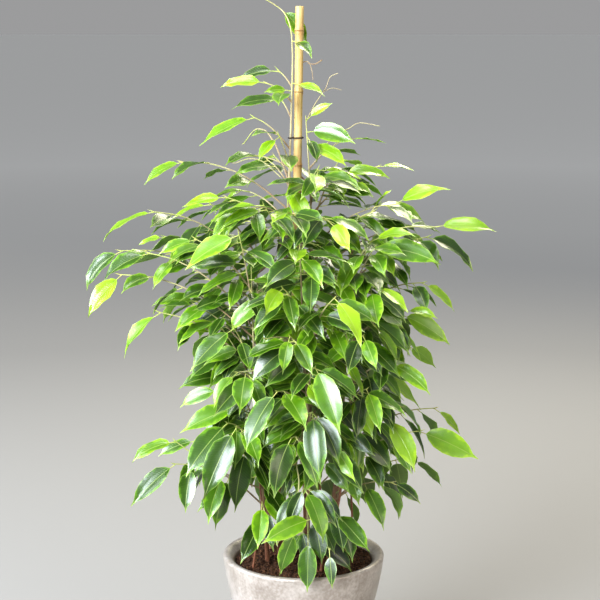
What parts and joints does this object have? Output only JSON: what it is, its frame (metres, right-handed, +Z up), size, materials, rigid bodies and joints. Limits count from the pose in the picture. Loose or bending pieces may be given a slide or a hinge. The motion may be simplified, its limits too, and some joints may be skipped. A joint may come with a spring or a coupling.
{
  "type": "potted weeping fig",
  "caption": "Bushy weeping fig with thin woody stems, arching shoots and pointed leaves round a bamboo cane, in a round glazed pot of soil.",
  "frame": {"origin": "centre of the pot's flat foot, on the surface that it stands on", "axes": "+Z up along the bamboo cane, -Y towards the front as pictured, +X to the picture's right"},
  "size_m": [0.6223, 0.5089, 1.0827],
  "materials": {
    "glazed_pot": "satin",
    "potting_soil": "matte",
    "bamboo": "satin",
    "tie_wire": "matte",
    "fig_leaf": "satin"
  },
  "bodies": {
    "root": {"pot": "glazed_pot", "soil": "potting_soil", "cane": "bamboo", "tie": "tie_wire", "stem_leader": "fig_leaf", "stem_second": "fig_leaf", "stem_front": "fig_leaf", "stem_front_right": "fig_leaf", "stem_back_right": "fig_leaf", "stem_back": "fig_leaf", "stem_back_left": "fig_leaf", "stem_front_left": "fig_leaf"}
  },
  "joints": []
}
